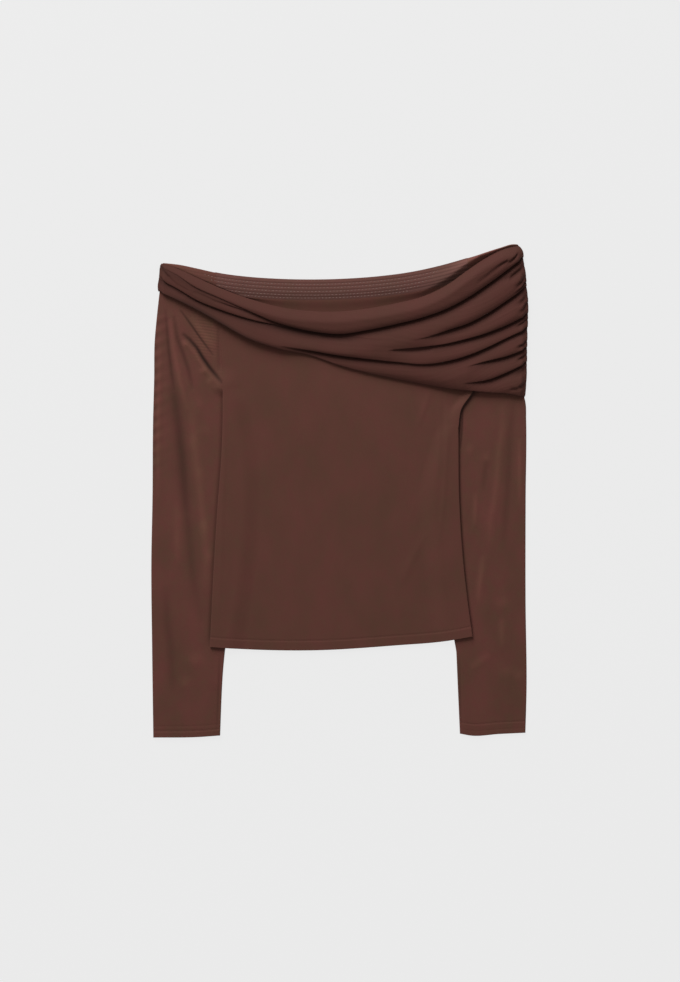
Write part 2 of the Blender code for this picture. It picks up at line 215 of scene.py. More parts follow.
def right_inner(y):
    """The right sleeve's inner edge, in the same way."""
    return body_right(y) - np.maximum(right_tuck(y), 0)


def band_seam(x):
    """The seam between the neck band and the back."""
    return back_neck(x) - BAND_WIDTH


def body_lift(x, y):
    """How far the body's edges are raised by the sleeves folded under them."""
    left = ease((left_inner(y) + EDGE_OVERLAP + BODY_SLOPE - x) / BODY_SLOPE)
    left = left * ease((LEFT_UNDERARM + ARMHOLE_FADE - y) / ARMHOLE_FADE)
    right = ease((x - right_inner(y) + EDGE_OVERLAP + BODY_SLOPE) / BODY_SLOPE)
    right = right * ease((RIGHT_UNDERARM + ARMHOLE_FADE - y) / ARMHOLE_FADE)
    return LIFT * (left + right)


drape_upper = through(DRAPE_UPPER)
neck_crest = through(NECK_CREST)
crest_clear = through(CREST_CLEAR)


def neck_rise(x, y):
    """The back's neck edge stands up to a crest at the band's seam and falls to the drape."""
    top = back_neck(x)
    foot = drape_upper(x)
    crest = np.minimum(np.maximum(band_seam(x), foot + crest_clear(x)), top - MM)
    outside = ease((top - y) / np.maximum(top - crest, MM))
    inside = ease((y - foot) / np.maximum(crest - foot, MM))
    return neck_crest(x) * np.where(y > crest, outside, inside)


def edge_rows(count, closer=1.0):
    """Rows across a panel: close together over the turned-up edge, then spaced out, closer above."""
    steps = np.array(EDGE_STEPS)[:, None] * MM
    share = 1 - (1 - np.linspace(0, 1, count + 1)[1:, None]) ** closer
    return lambda low, high: np.concatenate([
        low + steps, low + steps[-1] + share * (high - low - steps[-1])])


def turned_up(width, second=0.0, second_depth=0.0):
    """Returns the height of a turned-up edge over the single cloth: raised, with stitched grooves."""
    def height(distance):
        raised = HEM_RISE * ease((width + GROOVE_HALF - distance) / (2 * GROOVE_HALF))
        groove = HEM_GROOVE * np.exp(-((distance - width) / GROOVE_HALF) ** 2)
        return raised - groove - second_depth * np.exp(-((distance - second) / GROOVE_HALF) ** 2)
    return height


def panel_columns(turn, count):
    """Columns of a body panel: a curl at each side seam and the flat cloth between."""
    flat = [(share, turn, 0, 0) for share in np.linspace(0, 1, count)]
    return [(0, turn, w, 0) for w in CURL_STEPS] + flat + [(1, turn, 0, w) for w in CURL_STEPS[::-1]]


def laid_wall(columns, rows, low, high, sides, closed, lift, relief=None, under=None, thicker=None):
    """Lays a cloth wall between two side edges and two cross edges.

    columns has a row for each column of points: share of the way from the near to the far edge,
    turn of the cloth (0 faces up, pi faces down), and how far it is into the curl at each edge.
    """
    near, far = sides
    near_closed, far_closed = closed
    share, turn, near_curl, far_curl = np.array(columns).T
    side = 1 if far(0.0) > near(0.0) else -1
    facing_down = (1 - np.cos(turn)) / 2

    def edge(cross):
        level_near = cross(near(0.0), facing_down)
        level_far = cross(far(0.0), facing_down)
        return cross(near(level_near) * (1 - share) + far(level_far) * share, facing_down)

    lowest = edge(low)
    y = rows(lowest, edge(high))
    start = near(y)
    span = np.abs(far(y) - start) - 2 * FOLD_OUTER

    def curl(weight, closed):
        angle = CURL * closed * weight
        reach = ((1 - closed) * weight + np.sin(angle)) / (1 - closed + np.sin(CURL * closed))
        return angle, FOLD_OUTER * (reach - np.sin(angle))

    near_angle, near_shift = curl(near_curl, near_closed(y))
    far_angle, far_shift = curl(far_curl, far_closed(y))
    faces = []
    for radius in (FOLD_OUTER, FOLD_INNER):
        swing = np.sin(turn) + np.sin(far_angle) - np.sin(near_angle)
        x = start + side * (FOLD_OUTER + share * span + far_shift - near_shift + radius * swing)
        facing = np.cos(turn) * np.cos(near_angle) * np.cos(far_angle)
        z = FOLD_OUTER + radius * facing + lift(x, y)
        if relief is not None:
            z = z + relief(x, y) * (1 - facing_down)
        if under is not None:
            z = z + under(x, y) * facing_down
        if thicker is not None:
            doubled = thicker(y - lowest)
            z = z + doubled * (1 - facing_down) - doubled * facing_down * (radius == FOLD_INNER)
        faces.append(np.stack([x, y, z], axis=-1))
    return faces


def cloth_piece(name, outer, inner, material, tone_and_shade=None):
    """Closes the outer and the inner face of a cloth wall, two grids of points, into one piece.

    Its UV map is in metres of cloth: across and along the grid from its middle. Its tone, kept as an
    attribute, scales the colour with painted light and shade and with the band's paler mesh.
    """
    rows, columns = outer.shape[:2]
    count = rows * columns
    points = np.concatenate([outer.reshape(-1, 3), inner.reshape(-1, 3)])
    points = points - np.array([*MIDDLE, 0])
    index = np.arange(count).reshape(rows, columns)
    corners = (index[:-1, :-1], index[:-1, 1:], index[1:, 1:], index[1:, :-1])
    front = np.stack(corners, axis=-1).reshape(-1, 4)
    rim = np.concatenate([index[0, :], index[1:, -1], index[-1, -2::-1], index[-2:0:-1, 0]])
    after = np.roll(rim, -1)
    rim_faces = np.stack([rim, rim + count, after + count, after], axis=-1)
    faces = np.concatenate([front, front[:, ::-1] + count, rim_faces])
    a, b, c, d = (points[faces[:, corner]] for corner in range(4))
    volume = np.einsum("ij,ij->", a, np.cross(b, c)) + np.einsum("ij,ij->", a, np.cross(c, d))
    if volume < 0:
        faces = faces[:, ::-1]
    mesh = bpy.data.meshes.new(name)
    mesh.from_pydata(points.tolist(), [], faces.tolist())
    across = np.linalg.norm(np.diff(outer, axis=1, prepend=outer[:, :1]), axis=-1).cumsum(axis=1)
    along = np.linalg.norm(np.diff(outer, axis=0, prepend=outer[:1]), axis=-1).cumsum(axis=0)
    across = across - across[:, columns // 2:columns // 2 + 1]
    along = along - along[rows // 2:rows // 2 + 1]
    place = np.tile(np.stack([across, along], axis=-1).reshape(-1, 2), (2, 1))
    layer = mesh.uv_layers.new(name="cloth")
    layer.data.foreach_set("uv", place[faces.ravel()].ravel())
    # The tone holds painted light and shade, and the band's own paler colour
    if tone_and_shade is not None:
        values = np.tile(tone_and_shade.ravel(), 2)
        mesh.attributes.new("tone_and_shade", "FLOAT", "POINT").data.foreach_set("value", values)
    mesh.shade_smooth()
    mesh.materials.append(material)
    piece = bpy.data.objects.new(name, mesh)
    scene.collection.objects.link(piece)
    return piece


def open_above(underarm):
    """A side edge is closed to its seam up to the underarm, and lies open at the armhole."""
    return lambda y: ease((underarm - y) / SEAM_CLOSING)


def level_edge(line):
    """A cross edge that runs the same on both layers."""
    return lambda x, facing_down: line(x) + 0 * facing_down


def new_group(name, inputs, outputs):
    """Starts a shader node group with named sockets: (name, kind, value) and (name, kind)."""
    tree = bpy.data.node_groups.new(name, "ShaderNodeTree")
    for label, kind, value in inputs:
        socket = tree.interface.new_socket(label, in_out="INPUT", socket_type=kind)
        socket.default_value = value
    for label, kind in outputs:
        tree.interface.new_socket(label, in_out="OUTPUT", socket_type=kind)
    return tree, tree.nodes.new("NodeGroupInput").outputs, tree.nodes.new("NodeGroupOutput").inputs


def feed(tree, socket, value):
    """Sets a socket to a number or a triple, or links another node's output to it."""
    if isinstance(value, (int, float)):
        socket.default_value = value
    elif isinstance(value, tuple):
        socket.default_value = (*value, 1)[:len(socket.default_value)]
    else:
        tree.links.new(value, socket)


def calculate(tree, operation, *values):
    """Adds a Math node. Each value is a number or another node's output."""
    node = tree.nodes.new("ShaderNodeMath")
    node.operation = operation
    for socket, value in zip(node.inputs, values):
        feed(tree, socket, value)
    return node.outputs[0]


def cloth_place(tree):
    """The two UV coordinates, in metres across and along the cloth."""
    parts = tree.nodes.new("ShaderNodeSeparateXYZ")
    tree.links.new(tree.nodes.new("ShaderNodeUVMap").outputs["UV"], parts.inputs[0])
    return parts.outputs[0], parts.outputs[1]


def mix_colours(tree, factor, first, second):
    """Adds a colour Mix node. Each colour is a triple or another node's output."""
    node = tree.nodes.new("ShaderNodeMix")
    node.data_type = "RGBA"
    for place, value in ((0, factor), (6, first), (7, second)):
        feed(tree, node.inputs[place], value)
    return node.outputs[2]


def scaled_colour(tree, colour, factor):
    """Adds a Scale node, for a colour that is a triple or another node's output."""
    node = tree.nodes.new("ShaderNodeVectorMath")
    node.operation = "SCALE"
    feed(tree, node.inputs[0], colour)
    feed(tree, node.inputs["Scale"], factor)
    return node.outputs[0]


def noise(tree, scale, detail, stretch=(1, 1, 1), place=None):
    """Adds a Noise node with its own stretch along each axis, in object coordinates or at a place."""
    mapping = tree.nodes.new("ShaderNodeMapping")
    mapping.inputs["Scale"].default_value = stretch
    place = place or tree.nodes.new("ShaderNodeTexCoord").outputs["Object"]
    tree.links.new(place, mapping.inputs[0])
    node = tree.nodes.new("ShaderNodeTexNoise")
    node.inputs["Scale"].default_value = scale
    node.inputs["Detail"].default_value = detail
    tree.links.new(mapping.outputs[0], node.inputs["Vector"])
    return node.outputs[0]


def make_jersey_loops():
    """Node group: the height of plain knitted loops, in wales across and courses along the cloth."""
    tree, given, wanted = new_group(
        "jersey_loops", [("Wale", "NodeSocketFloat", WALE), ("Course", "NodeSocketFloat", COURSE)],
        [("Height", "NodeSocketFloat")])
    across, along = cloth_place(tree)
    wales = calculate(tree, "DIVIDE", across, given["Wale"])
    courses = calculate(tree, "DIVIDE", along, given["Course"])
    wave = calculate(tree, "SINE", calculate(tree, "MULTIPLY", wales, math.pi))
    rib = calculate(tree, "ABSOLUTE", wave)
    slant = calculate(tree, "PINGPONG", wales, 0.5)
    leg = calculate(tree, "SINE", calculate(
        tree, "MULTIPLY", calculate(tree, "ADD", courses, slant), 2 * math.pi))
    loop = calculate(tree, "MULTIPLY", rib, calculate(tree, "MULTIPLY_ADD", leg, 0.3, 0.7))
    tree.links.new(loop, wanted["Height"])
    return tree


def make_cloth_tone():
    """Node group: a cloth colour that drifts between two dyes in soft patches and fine flecks."""
    brown = (*JERSEY_BROWN, 1)
    tree, given, wanted = new_group(
        "cloth_tone",
        [("First", "NodeSocketColor", brown), ("Second", "NodeSocketColor", brown),
         ("Flecks", "NodeSocketFloat", 0.05)],
        [("Colour", "NodeSocketColor")])
    patches = calculate(
        tree, "MULTIPLY", noise(tree, PATCHES, 2.0, (1.0, 0.6, 1.0)), 1 - SMALL_SHARE)
    small = noise(tree, SMALL_PATCHES, 3.0, (1.0, 0.7, 1.0))
    patches = calculate(tree, "ADD", patches, calculate(tree, "MULTIPLY", small, SMALL_SHARE))
    share = calculate(
        tree, "MULTIPLY_ADD", calculate(tree, "SUBTRACT", patches, 0.5), PATCH_CONTRAST, 0.5)
    share = calculate(tree, "MAXIMUM", calculate(tree, "MINIMUM", share, 1.0), 0.0)
    colour = mix_colours(tree, share, given["First"], given["Second"])
    fleck = calculate(tree, "SUBTRACT", noise(tree, FLECKS, 2.0), 0.5)
    fleck = calculate(tree, "ADD", fleck, calculate(tree, "SUBTRACT", small, 0.5))
    factor = calculate(tree, "MULTIPLY_ADD", fleck, given["Flecks"], 1.0)
    tree.links.new(scaled_colour(tree, colour, factor), wanted["Colour"])
    return tree


def tinted(colour, red, green, blue):
    """The same colour with each part scaled."""
    return (colour[0] * red, colour[1] * green, colour[2] * blue)


def use_group(tree, group, **values):
    """Adds a node group and sets its inputs by name."""
    node = tree.nodes.new("ShaderNodeGroup")
    node.node_tree = group
    for label, value in values.items():
        node.inputs[label].default_value = (*value, 1) if isinstance(value, tuple) else value
    return node.outputs


def cloth_material(name, colour, contrast, flecks, loops, depth, roughness, sheen, with_tone_and_shade=False):
    """A matte cloth: patches of two near dyes, a knitted surface and a soft sheen.

    The colour of a toned cloth is also scaled by an attribute of its mesh with painted light and shade.
    """
    material = bpy.data.materials.new(name)
    material.use_nodes = True
    tree = material.node_tree
    shader = tree.nodes["Principled BSDF"]
    first = tinted(colour, 1 + contrast, 1 + 0.1 * contrast, 1 + 0.6 * contrast)
    second = tinted(colour, 1 - contrast, 1 + 0.2 * contrast, 1 - 0.8 * contrast)
    colours = use_group(tree, cloth_tone, First=first, Second=second, Flecks=flecks)["Colour"]
    # The tone attribute adds painted light and shade to the colour
    if with_tone_and_shade:
        attribute = tree.nodes.new("ShaderNodeAttribute")
        attribute.attribute_name = "tone_and_shade"
        colours = scaled_colour(tree, colours, attribute.outputs["Fac"])
    tree.links.new(colours, shader.inputs["Base Color"])
    bump = tree.nodes.new("ShaderNodeBump")
    bump.inputs["Strength"].default_value = 1.0
    bump.inputs["Distance"].default_value = depth
    tree.links.new(loops(tree), bump.inputs["Height"])
    tree.links.new(bump.outputs[0], shader.inputs["Normal"])
    shader.inputs["Roughness"].default_value = roughness
    shader.inputs["Specular IOR Level"].default_value = CLOTH_SHINE
    shader.inputs["Sheen Weight"].default_value = sheen
    shader.inputs["Sheen Roughness"].default_value = 0.5
    shader.inputs["Sheen Tint"].default_value = (*SHEEN_TINT, 1)
    return material


jersey_loops = make_jersey_loops()
cloth_tone = make_cloth_tone()


def body_loops(tree):
    """The body's jersey: twelve wales and fourteen courses a centimetre."""
    return use_group(tree, jersey_loops, Wale=WALE, Course=COURSE)["Height"]


body_jersey = cloth_material(
    "body_jersey", JERSEY_BROWN, contrast=0.09, flecks=0.16, loops=body_loops, depth=0.03 * MM,
    roughness=0.8, sheen=0.03)
body_sides = (body_left, body_right)
body_closed = (open_above(LEFT_UNDERARM), open_above(RIGHT_UNDERARM))
back_faces = laid_wall(
    panel_columns(math.pi, 110), edge_rows(130, 1.6), level_edge(hem),
    level_edge(band_seam), body_sides, body_closed, body_lift,
    under=neck_rise, thicker=turned_up(HEM_WIDTH))
back_panel = cloth_piece("back_panel_jersey", *back_faces, body_jersey)
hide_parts("back_panel")
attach(back_panel, "root")


# Neck band
# A strip of fine stretch mesh, doubled and sewn with five parallel rows of pale thread. It is the
# top edge of the back and is seen from inside, in the opening above the drape.
BAND_BROWN = (0.0830, 0.0345, 0.0280)
THREAD_PALE = (0.150, 0.082, 0.068)
THREAD_FLECKS = 700.0
THREAD_ROUGHNESS = 0.6
STITCH_RAISE = 0.15 * MM
STITCH_OFFSETS = (6.4, 10.8, 15.4, 19.9, 23.6)
# Where each row of stitches is in view: from x to x
STITCH_ENDS = ((-168, 122), (-160, 116), (-150, 108), (-134, 98), (-118, 84))
# Each row pulls a groove just above it; the cloth between the rows stands up in a soft ripple
GROOVE_ABOVE = 1.3
BAND_GROOVE = 0.30 * MM
BAND_GROOVE_HALF = 1.0 * MM
# The band's colour scale at the neck edge and its fall to the seam: its own paler mesh with a painted
# light gradient; then the painted shade in its grooves
BAND_LIGHT = 1.45
BAND_PAINTED_LIGHT_FALL = 0.62
GROOVE_SHADE = 0.22
NECK_SET_IN = 6.0 * MM


def neckline(x, facing_down):
    """The whole neckline: the front's is hidden under the drape, the back's is the lower layer's."""
    return (drape_upper(x) - NECK_SET_IN) * (1 - facing_down) + back_neck(x) * facing_down


def band_grooves(x, y):
    """How deep in the grooves along the rows of stitches a point is, from 0 to 1."""
    below = back_neck(x) - y
    share = np.zeros_like(below)
    for offset in STITCH_OFFSETS:
        share += np.exp(-((below - (offset - GROOVE_ABOVE) * MM) / BAND_GROOVE_HALF) ** 2)
    return share


def band_colour_and_shade(x, y):
    """The band's own paler mesh, with painted light toward the neck edge and painted shade in its
    grooves.
    """
    light = BAND_LIGHT - BAND_PAINTED_LIGHT_FALL * (back_neck(x) - y) / BAND_WIDTH
    return light * (1 - GROOVE_SHADE * band_grooves(x, y))


def even_rows(count):
    """Rows spaced evenly between two cross edges."""
    return lambda low, high: low + np.linspace(0, 1, count + 1)[:, None] * (high - low)


def make_mesh_net():
    """Node group: the height of a fine net's crossing threads over its holes."""
    tree, given, wanted = new_group(
        "mesh_net", [("Pitch", "NodeSocketFloat", MM)], [("Height", "NodeSocketFloat")])
    across, along = cloth_place(tree)
    threads = []
    for sign in (1, -1):
        line = calculate(tree, "MULTIPLY_ADD", along, 0.7 * sign, across)
        wave = calculate(tree, "SINE", calculate(
            tree, "MULTIPLY", calculate(tree, "DIVIDE", line, given["Pitch"]), math.pi))
        threads.append(calculate(tree, "ABSOLUTE", wave))
    holes = calculate(tree, "MULTIPLY", *threads)
    tree.links.new(calculate(tree, "SUBTRACT", 1.0, holes), wanted["Height"])
    return tree


mesh_net = make_mesh_net()


def band_loops(tree):
    return use_group(tree, mesh_net, Pitch=1.0 * MM)["Height"]


band_mesh = cloth_material(
    "band_mesh", BAND_BROWN, contrast=0.06, flecks=0.2, loops=band_loops, depth=0.05 * MM,
    roughness=0.75, sheen=0.05, with_tone_and_shade=True)
band_outer, band_inner = laid_wall(
    panel_columns(math.pi, 240), even_rows(80), level_edge(band_seam), neckline, body_sides,
    body_closed, body_lift, under=neck_rise)
band_x, band_y = band_inner[..., 0], band_inner[..., 1]
band_inner[..., 2] -= BAND_GROOVE * band_grooves(band_x, band_y)
neck_band = cloth_piece(
    "neck_band_mesh", band_outer, band_inner, band_mesh, band_colour_and_shade(band_x, band_y))
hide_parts("neck_band")
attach(neck_band, "root")


def make_stitch_tree():
    """Geometry nodes: a row of stitches of one length along a curve, each a small rounded thread."""
    tree = bpy.data.node_groups.new("stitch_row", "GeometryNodeTree")
    tree.interface.new_socket("Geometry", in_out="INPUT", socket_type="NodeSocketGeometry")
    for label in ("Pitch", "Length", "Width", "Height"):
        socket = tree.interface.new_socket(label, in_out="INPUT", socket_type="NodeSocketFloat")
        socket.default_value = MM
    tree.interface.new_socket("Seed", in_out="INPUT", socket_type="NodeSocketInt")
    tree.interface.new_socket("Thread", in_out="INPUT", socket_type="NodeSocketMaterial")
    tree.interface.new_socket("Geometry", in_out="OUTPUT", socket_type="NodeSocketGeometry")
    given = tree.nodes.new("NodeGroupInput").outputs
    join = tree.links.new
    resample = tree.nodes.new("GeometryNodeResampleCurve")
    resample.mode = "LENGTH"
    join(given["Geometry"], resample.inputs["Curve"])
    join(given["Pitch"], resample.inputs["Length"])
    drop = tree.nodes.new("GeometryNodeMeshUVSphere")
    drop.inputs["Segments"].default_value = 8
    drop.inputs["Rings"].default_value = 6
    drop.inputs["Radius"].default_value = 0.5
    size = tree.nodes.new("ShaderNodeCombineXYZ")
    for axis, label in zip("XYZ", ("Length", "Width", "Height")):
        join(given[label], size.inputs[axis])
    shape = tree.nodes.new("GeometryNodeTransform")
    join(drop.outputs["Mesh"], shape.inputs["Geometry"])
    join(size.outputs[0], shape.inputs["Scale"])
    align = tree.nodes.new("FunctionNodeAlignRotationToVector")
    align.axis = "X"
    join(tree.nodes.new("GeometryNodeInputTangent").outputs[0], align.inputs["Vector"])
    vary = tree.nodes.new("FunctionNodeRandomValue")
    vary.data_type = "FLOAT_VECTOR"
    vary.inputs["Min"].default_value = (0.72, 0.85, 0.8)
    vary.inputs["Max"].default_value = (1.1, 1.15, 1.1)
    join(given["Seed"], vary.inputs["Seed"])
    place = tree.nodes.new("GeometryNodeInstanceOnPoints")
    join(resample.outputs[0], place.inputs["Points"])
    join(shape.outputs[0], place.inputs["Instance"])
    join(align.outputs[0], place.inputs["Rotation"])
    join(vary.outputs[0], place.inputs["Scale"])
    real = tree.nodes.new("GeometryNodeRealizeInstances")
    join(place.outputs[0], real.inputs[0])
    smooth = tree.nodes.new("GeometryNodeSetShadeSmooth")
    join(real.outputs[0], smooth.inputs["Geometry"])
    paint = tree.nodes.new("GeometryNodeSetMaterial")
    join(smooth.outputs[0], paint.inputs["Geometry"])
    join(given["Thread"], paint.inputs["Material"])
    join(paint.outputs[0], tree.nodes.new("NodeGroupOutput").inputs["Geometry"])
    return tree


def stitches(name, lines, thread, **sizes):
    """Sews rows of stitches along lines of points and returns them as one plain mesh."""
    curve = bpy.data.curves.new(name, "CURVE")
    curve.dimensions = "3D"
    for line in lines:
        spline = curve.splines.new("POLY")
        spline.points.add(len(line) - 1)
        shifted = line - np.array([*MIDDLE, 0])
        spline.points.foreach_set("co", np.column_stack([shifted, np.ones(len(line))]).ravel())
    rows = bpy.data.objects.new(name + "_rows", curve)
    scene.collection.objects.link(rows)
    modifier = rows.modifiers.new("stitches", "NODES")
    modifier.node_group = stitch_tree
    values = {"Thread": thread, "Seed": 7, **sizes}
    for item in stitch_tree.interface.items_tree:
        if item.in_out == "INPUT" and item.name in values:
            modifier[item.identifier] = values[item.name]
    depsgraph = bpy.context.evaluated_depsgraph_get()
    mesh = bpy.data.meshes.new_from_object(rows.evaluated_get(depsgraph), depsgraph=depsgraph)
    bpy.data.objects.remove(rows, do_unlink=True)
    mesh.name = name
    piece = bpy.data.objects.new(name, mesh)
    scene.collection.objects.link(piece)
    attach(piece, "root")
    return piece


def thread_material(name, colour, shine):
    """A twisted sewing thread with fine flecks."""
    material = bpy.data.materials.new(name)
    material.use_nodes = True
    tree = material.node_tree
    shader = tree.nodes["Principled BSDF"]
    fleck = calculate(tree, "MULTIPLY_ADD", noise(tree, THREAD_FLECKS, 1.0), 0.3, 0.85)
    tree.links.new(scaled_colour(tree, colour, fleck), shader.inputs["Base Color"])
    shader.inputs["Roughness"].default_value = THREAD_ROUGHNESS
    shader.inputs["Specular IOR Level"].default_value = shine
    return material


stitch_tree = make_stitch_tree()
pale_thread = thread_material("pale_thread", THREAD_PALE, 0.5)
band_lines = []
for offset, (start, end) in zip(STITCH_OFFSETS, STITCH_ENDS):
    x = np.linspace(start, end, 160) * MM
    y = back_neck(x) - offset * MM
    z = CLOTH + neck_rise(x, y) - BAND_GROOVE * band_grooves(x, y) + STITCH_RAISE
    band_lines.append(np.stack([x, y, z], axis=-1))
band_stitches = stitches(
    "neck_band_stitches", band_lines, pale_thread, Pitch=4.4 * MM, Length=2.7 * MM, Width=0.7 * MM,
    Height=0.4 * MM)


# Front panel
# One piece of the same jersey, from a neckline that the drape covers down to the turned-up hem.
# Its side edges lie over the tucked sleeves, and it is never quite flat between them.
# Broad soft waves of the cloth: centre x and y, radii, height
FRONT_WAVES = (
    (-60, 90, 60, 90, 0.5), (70, 60, 55, 110, 0.45), (-95, -60, 45, 100, 0.35),
    (20, -70, 60, 80, -0.4), (-20, 20, 40, 60, -0.3), (112, -136, 44, 31, -0.5),
)
# Soft folds: a polyline, its height and half its width
FRONT_FOLDS = (
    (((134, 116), (134, 51), (130, -11), (123, -67)), 0.35, 2.5),
    (((125, 123), (125, 64), (120, 11)), 0.30, 2.5),
    (((114, 130), (108, 108), (97, 80)), 0.35, 3.5),
    (((108, -52), (90, -86), (77, -116)), 0.40, 5.0),
    (((-144.6, 119), (-143.4, 51), (-146, -11), (-148.4, -86), (-152, -164)), 0.30, 2.5),
)
# The front's edge at the right armhole stands up over the sleeve, under the end of the drape
ARMHOLE_RISE = 3.0 * MM
ARMHOLE_SLOPE = 14.0 * MM
ARMHOLE_UNDER = 12.0 * MM
DRAPE_LOWER = (
    (-227, 250.4), (-205, 241.5), (-180, 229.3), (-150, 213.5), (-115, 194.5), (-75, 178.8),
    (-35, 167.2), (0, 156.6), (35, 148.0), (70, 140.3), (105, 133.5), (135, 128.7), (160, 126.2),
    (185, 124.0), (208, 122.5), (234, 117.5),
)
HEM_THREAD = (0.078, 0.0297, 0.0218)
HEM_STITCH = {"Pitch": 2.6 * MM, "Length": 2.0 * MM, "Width": 0.5 * MM, "Height": 0.3 * MM}
HEM_STITCH_RAISE = 0.1 * MM
drape_lower = through(DRAPE_LOWER)


def near_line(x, y, line):
    """Distance to a polyline, positive on the left of its way, and the share of its length passed."""
    line = np.array(line) * MM
    lengths = np.hypot(*np.diff(line, axis=0).T)
    done = np.concatenate([[0], np.cumsum(lengths)]) / lengths.sum()
    best = np.full_like(x, 1.0)
    signed = np.full_like(x, 1.0)
    passed = np.zeros_like(x)
    for (x0, y0), (x1, y1), length, before, after in zip(
            line[:-1], line[1:], lengths, done[:-1], done[1:]):
        t = ((x - x0) * (x1 - x0) + (y - y0) * (y1 - y0)) / length ** 2
        held = np.clip(t, 0, 1)
        away = np.hypot(x - x0 - held * (x1 - x0), y - y0 - held * (y1 - y0))
        across = ((y - y0) * (x1 - x0) - (x - x0) * (y1 - y0)) / length
        nearer = away < best
        best = np.where(nearer, away, best)
        signed = np.where(nearer, np.where(across >= 0, away, -away), signed)
        passed = np.where(nearer, before + held * (after - before), passed)
    return signed, passed


def swells(x, y, waves):
    """The height of broad waves: centre x and y, radii and height in millimetres."""
    height = np.zeros_like(x)
    for x0, y0, radius_x, radius_y, rise in np.array(waves) * MM:
        height += rise * np.exp(-((x - x0) / radius_x) ** 2 - ((y - y0) / radius_y) ** 2)
    return height


def soft_folds(x, y, folds):
    """The height of soft folds along polylines, each rising and ending gently."""
    height = np.zeros_like(x)
    for line, rise, half_width in folds:
        away, passed = near_line(x, y, line)
        along = np.sin(math.pi * np.clip(passed, 0, 1)) ** 0.5
        height += rise * MM * along * np.exp(-(away / (half_width * MM)) ** 2)
    return height


def armhole_height(x, y):
    """How high the right armhole stands, up to where the drape covers it."""
    above = ease((y - RIGHT_UNDERARM) / ARMHOLE_FADE)
    return ARMHOLE_RISE * above * ease((drape_lower(x) + ARMHOLE_UNDER - y) / ARMHOLE_UNDER)


def front_relief(x, y):
    """Waves and folds across the front, and its raised edge at the right armhole."""
    height = swells(x, y, FRONT_WAVES) + soft_folds(x, y, FRONT_FOLDS)
    beside = ease((x - body_right(y)) / ARMHOLE_SLOPE + 1)
    return height + armhole_height(x, y) * beside


front_faces = laid_wall(
    panel_columns(0, 180), edge_rows(205), level_edge(hem), neckline, body_sides, body_closed,
    body_lift, relief=front_relief, thicker=turned_up(HEM_WIDTH))
front_panel = cloth_piece("front_panel_jersey", *front_faces, body_jersey)
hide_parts("front_panel")
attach(front_panel, "root")
hem_thread = thread_material("hem_thread", HEM_THREAD, 0.1)
x = np.linspace(-158, 163, 220) * MM
y = hem(x) + HEM_WIDTH
hem_height = turned_up(HEM_WIDTH)(HEM_WIDTH) + HEM_STITCH_RAISE
z = 2 * FOLD_OUTER + body_lift(x, y) + front_relief(x, y) + hem_height
hem_stitches = stitches("hem_stitches", [np.stack([x, y, z], axis=-1)], hem_thread, **HEM_STITCH)


# Sleeves
# Each sleeve is one piece of fine stretch mesh, folded at its outer edge and sewn at the underarm.
# The sleeves lie down the sides, their inner parts tucked under the body, and end in stitched cuffs.
SLEEVE_BROWN = (0.0900, 0.0330, 0.0243)
LEFT_CUFF = ((-236, -307.8), (-175, -307.1), (-148, -305.2))
RIGHT_CUFF = ((148, -302.6), (162, -305.2), (200, -303.3), (236, -301.6))
# The level at which a cuff's ends are read, and how far inside them its stitches stay
CUFF_LEVEL = -300.0 * MM
CUFF_INNER_CLEAR = 2.5 * MM
CUFF_OUTER_CLEAR = 1.5 * MM
# Where each cuff is stitched above its edge, a fainter second groove and its depth
LEFT_CUFF_SEWN = (8.0 * MM, 14.0 * MM, 0.12 * MM)
RIGHT_CUFF_SEWN = (14.5 * MM, 6.0 * MM, 0.10 * MM)
LEFT_OUTER = (
    (-310, -232.9), (-199, -234.4), (-86, -235.4), (-11, -234.0), (90, -233.2), (139, -231.9),
    (189, -231.1), (214, -228.9), (241, -226.0), (252, -224.8), (265, -224.4), (288, -221.2),
)
RIGHT_OUTER = (
    (-310, 231.8), (-249, 233.5), (-136, 232.3), (-11, 232.4), (89, 233.0), (110, 232.3),
    (120, 230.3), (139, 231.6), (189, 232.8), (241, 233.4), (256, 232.0), (271, 230.7),
    (286, 228.3), (301, 226.0), (309, 222.5),
)
# Soft folds: a polyline, its height and half its width; a hollow has a height below zero
LEFT_FOLDS = (
    (((-217, 216), (-213, 176), (-210, 151), (-205, 114), (-200, 76), (-196, 39), (-192, -11),
      (-188, -49), (-185, -86), (-180, -124), (-172, -166)), -0.6, 5.5),
    (((-207, 130), (-203, 95), (-199, 60), (-195, 20), (-192, -30)), -0.45, 9.0),
    (((-217, 228), (-215, 200), (-213, 176), (-210, 151), (-206, 125)), -0.7, 1.8),
    (((-207, 219), (-202, 189), (-195, 170), (-188, 149), (-183, 126)), -0.95, 2.6),
    (((-211.5, 216), (-207, 176), (-200, 141), (-190, 99)), 0.7, 3.5),
    (((-225, 201), (-225, 139), (-226, 76), (-226.5, -11)), 0.5, 3.0),
    (((-186, 124), (-180, 51), (-171, -24), (-168, -55), (-165, -86), (-167, -126)), 0.55, 5.5),
    (((-202, -11), (-202, -92)), 0.4, 5.0),
    (((-217, -117), (-215, -161), (-210, -199), (-208, -251)), -0.5, 6.0),
    (((-151.5, 214), (-151, 183), (-150, 149)), -0.5, 2.5),
    (((-146.7, 216), (-146.4, 183), (-146, 151)), 0.3, 1.0),
    (((-197, 188), (-189, 181), (-180.5, 171), (-173, 159), (-164, 147), (-150, 130)), 0.6, 2.4),
    (((-186, 217), (-175, 203), (-164, 188), (-155, 178)), 0.45, 4.0),
    (((-149.5, -206), (-151, -250), (-153, -298)), -0.5, 1.3),
)
